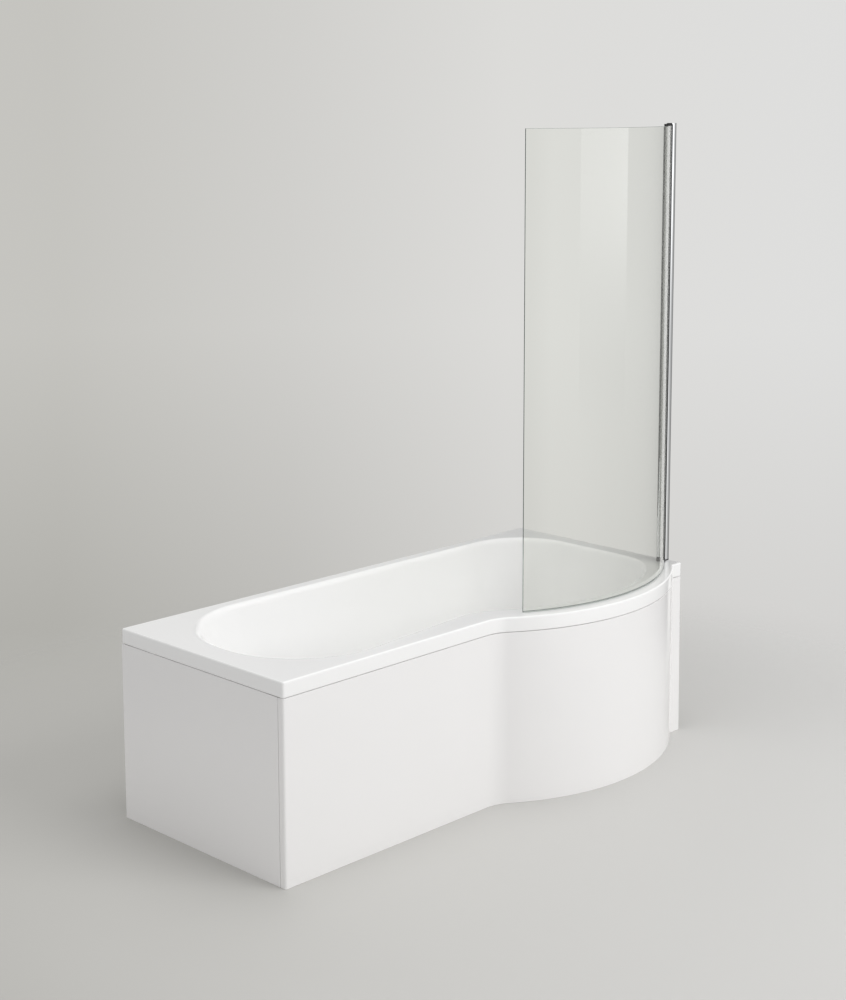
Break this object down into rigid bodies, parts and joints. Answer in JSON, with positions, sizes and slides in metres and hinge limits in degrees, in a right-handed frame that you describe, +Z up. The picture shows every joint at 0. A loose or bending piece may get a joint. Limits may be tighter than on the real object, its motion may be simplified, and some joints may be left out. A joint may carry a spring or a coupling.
{
  "type": "p shaped shower bath",
  "caption": "P-shaped acrylic shower bath with a bulged shower end, curved front panel, end panel, leg set, click waste and a curved glass screen on an inward-opening hinge.",
  "frame": {"origin": "centre of the overall footprint, on the floor", "axes": "+X along the bath to the shower end with the screen, +Y from the bulged front to the long back wall, +Z up"},
  "size_m": [1.7, 0.8499, 1.9765],
  "materials": {
    "acrylic": "gloss",
    "panel_acrylic": "gloss",
    "board": "raw particle board",
    "timber": "planed softwood",
    "zinc_steel": "zinc plated",
    "chrome": "polished",
    "bright_aluminium": "bright anodised",
    "black_plastic": "fine satin",
    "white_plastic": "satin",
    "black_rubber": "matte",
    "clear_glass": "clear toughened",
    "clear_vinyl": "clear"
  },
  "bodies": {
    "bath": {"bath_shell": "acrylic", "baseboard": "board", "rim_batten_back": "timber", "rim_batten_front": "timber", "rim_batten_narrow_end": "timber", "rim_batten_shower_end": "timber", "leg_rail_narrow": "zinc_steel", "leg_rail_wide": "zinc_steel", "centre_leg_plate": "zinc_steel", "leg_studs": "zinc_steel", "leg_nuts": "zinc_steel", "leg_feet": "black_plastic", "rail_screws": "zinc_steel", "wall_brackets": "zinc_steel", "bracket_screws": "zinc_steel", "waste_fitting": "chrome", "waste_gaskets": "black_rubber", "waste_backnut": "white_plastic", "waste_cartridge": "white_plastic", "front_panel": "panel_acrylic", "end_panel": "panel_acrylic", "panel_clips": "white_plastic", "clip_screws": "zinc_steel", "floor_batten_front": "timber", "floor_batten_end": "timber", "wall_channel": "bright_aluminium", "channel_cap": "black_plastic", "hinge_post": "bright_aluminium", "post_screws": "zinc_steel", "pivot_bracket_top": "black_plastic", "pivot_bracket_bottom": "black_plastic", "pivot_pins": "zinc_steel"},
    "screen": {"hinge_rail": "bright_aluminium", "rail_cap_top": "black_plastic", "rail_cap_bottom": "black_plastic", "pivot_bushes": "white_plastic", "glazing_gasket": "black_rubber", "screen_glass": "clear_glass", "bottom_seal": "clear_vinyl"},
    "plug": {"waste_plug": "chrome", "plug_seal": "black_rubber"}
  },
  "joints": [
    {"name": "screen_hinge", "type": "hinge", "parent": "bath", "child": "screen", "pos_m": [0.817, -0.2118, 0.565], "axis": [0, 0, 1], "range_deg": [-60, 0]},
    {"name": "plug_lift", "type": "slide", "parent": "bath", "child": "plug", "axis": [0, 0, 1], "range_m": [0, 0.008]}
  ]
}
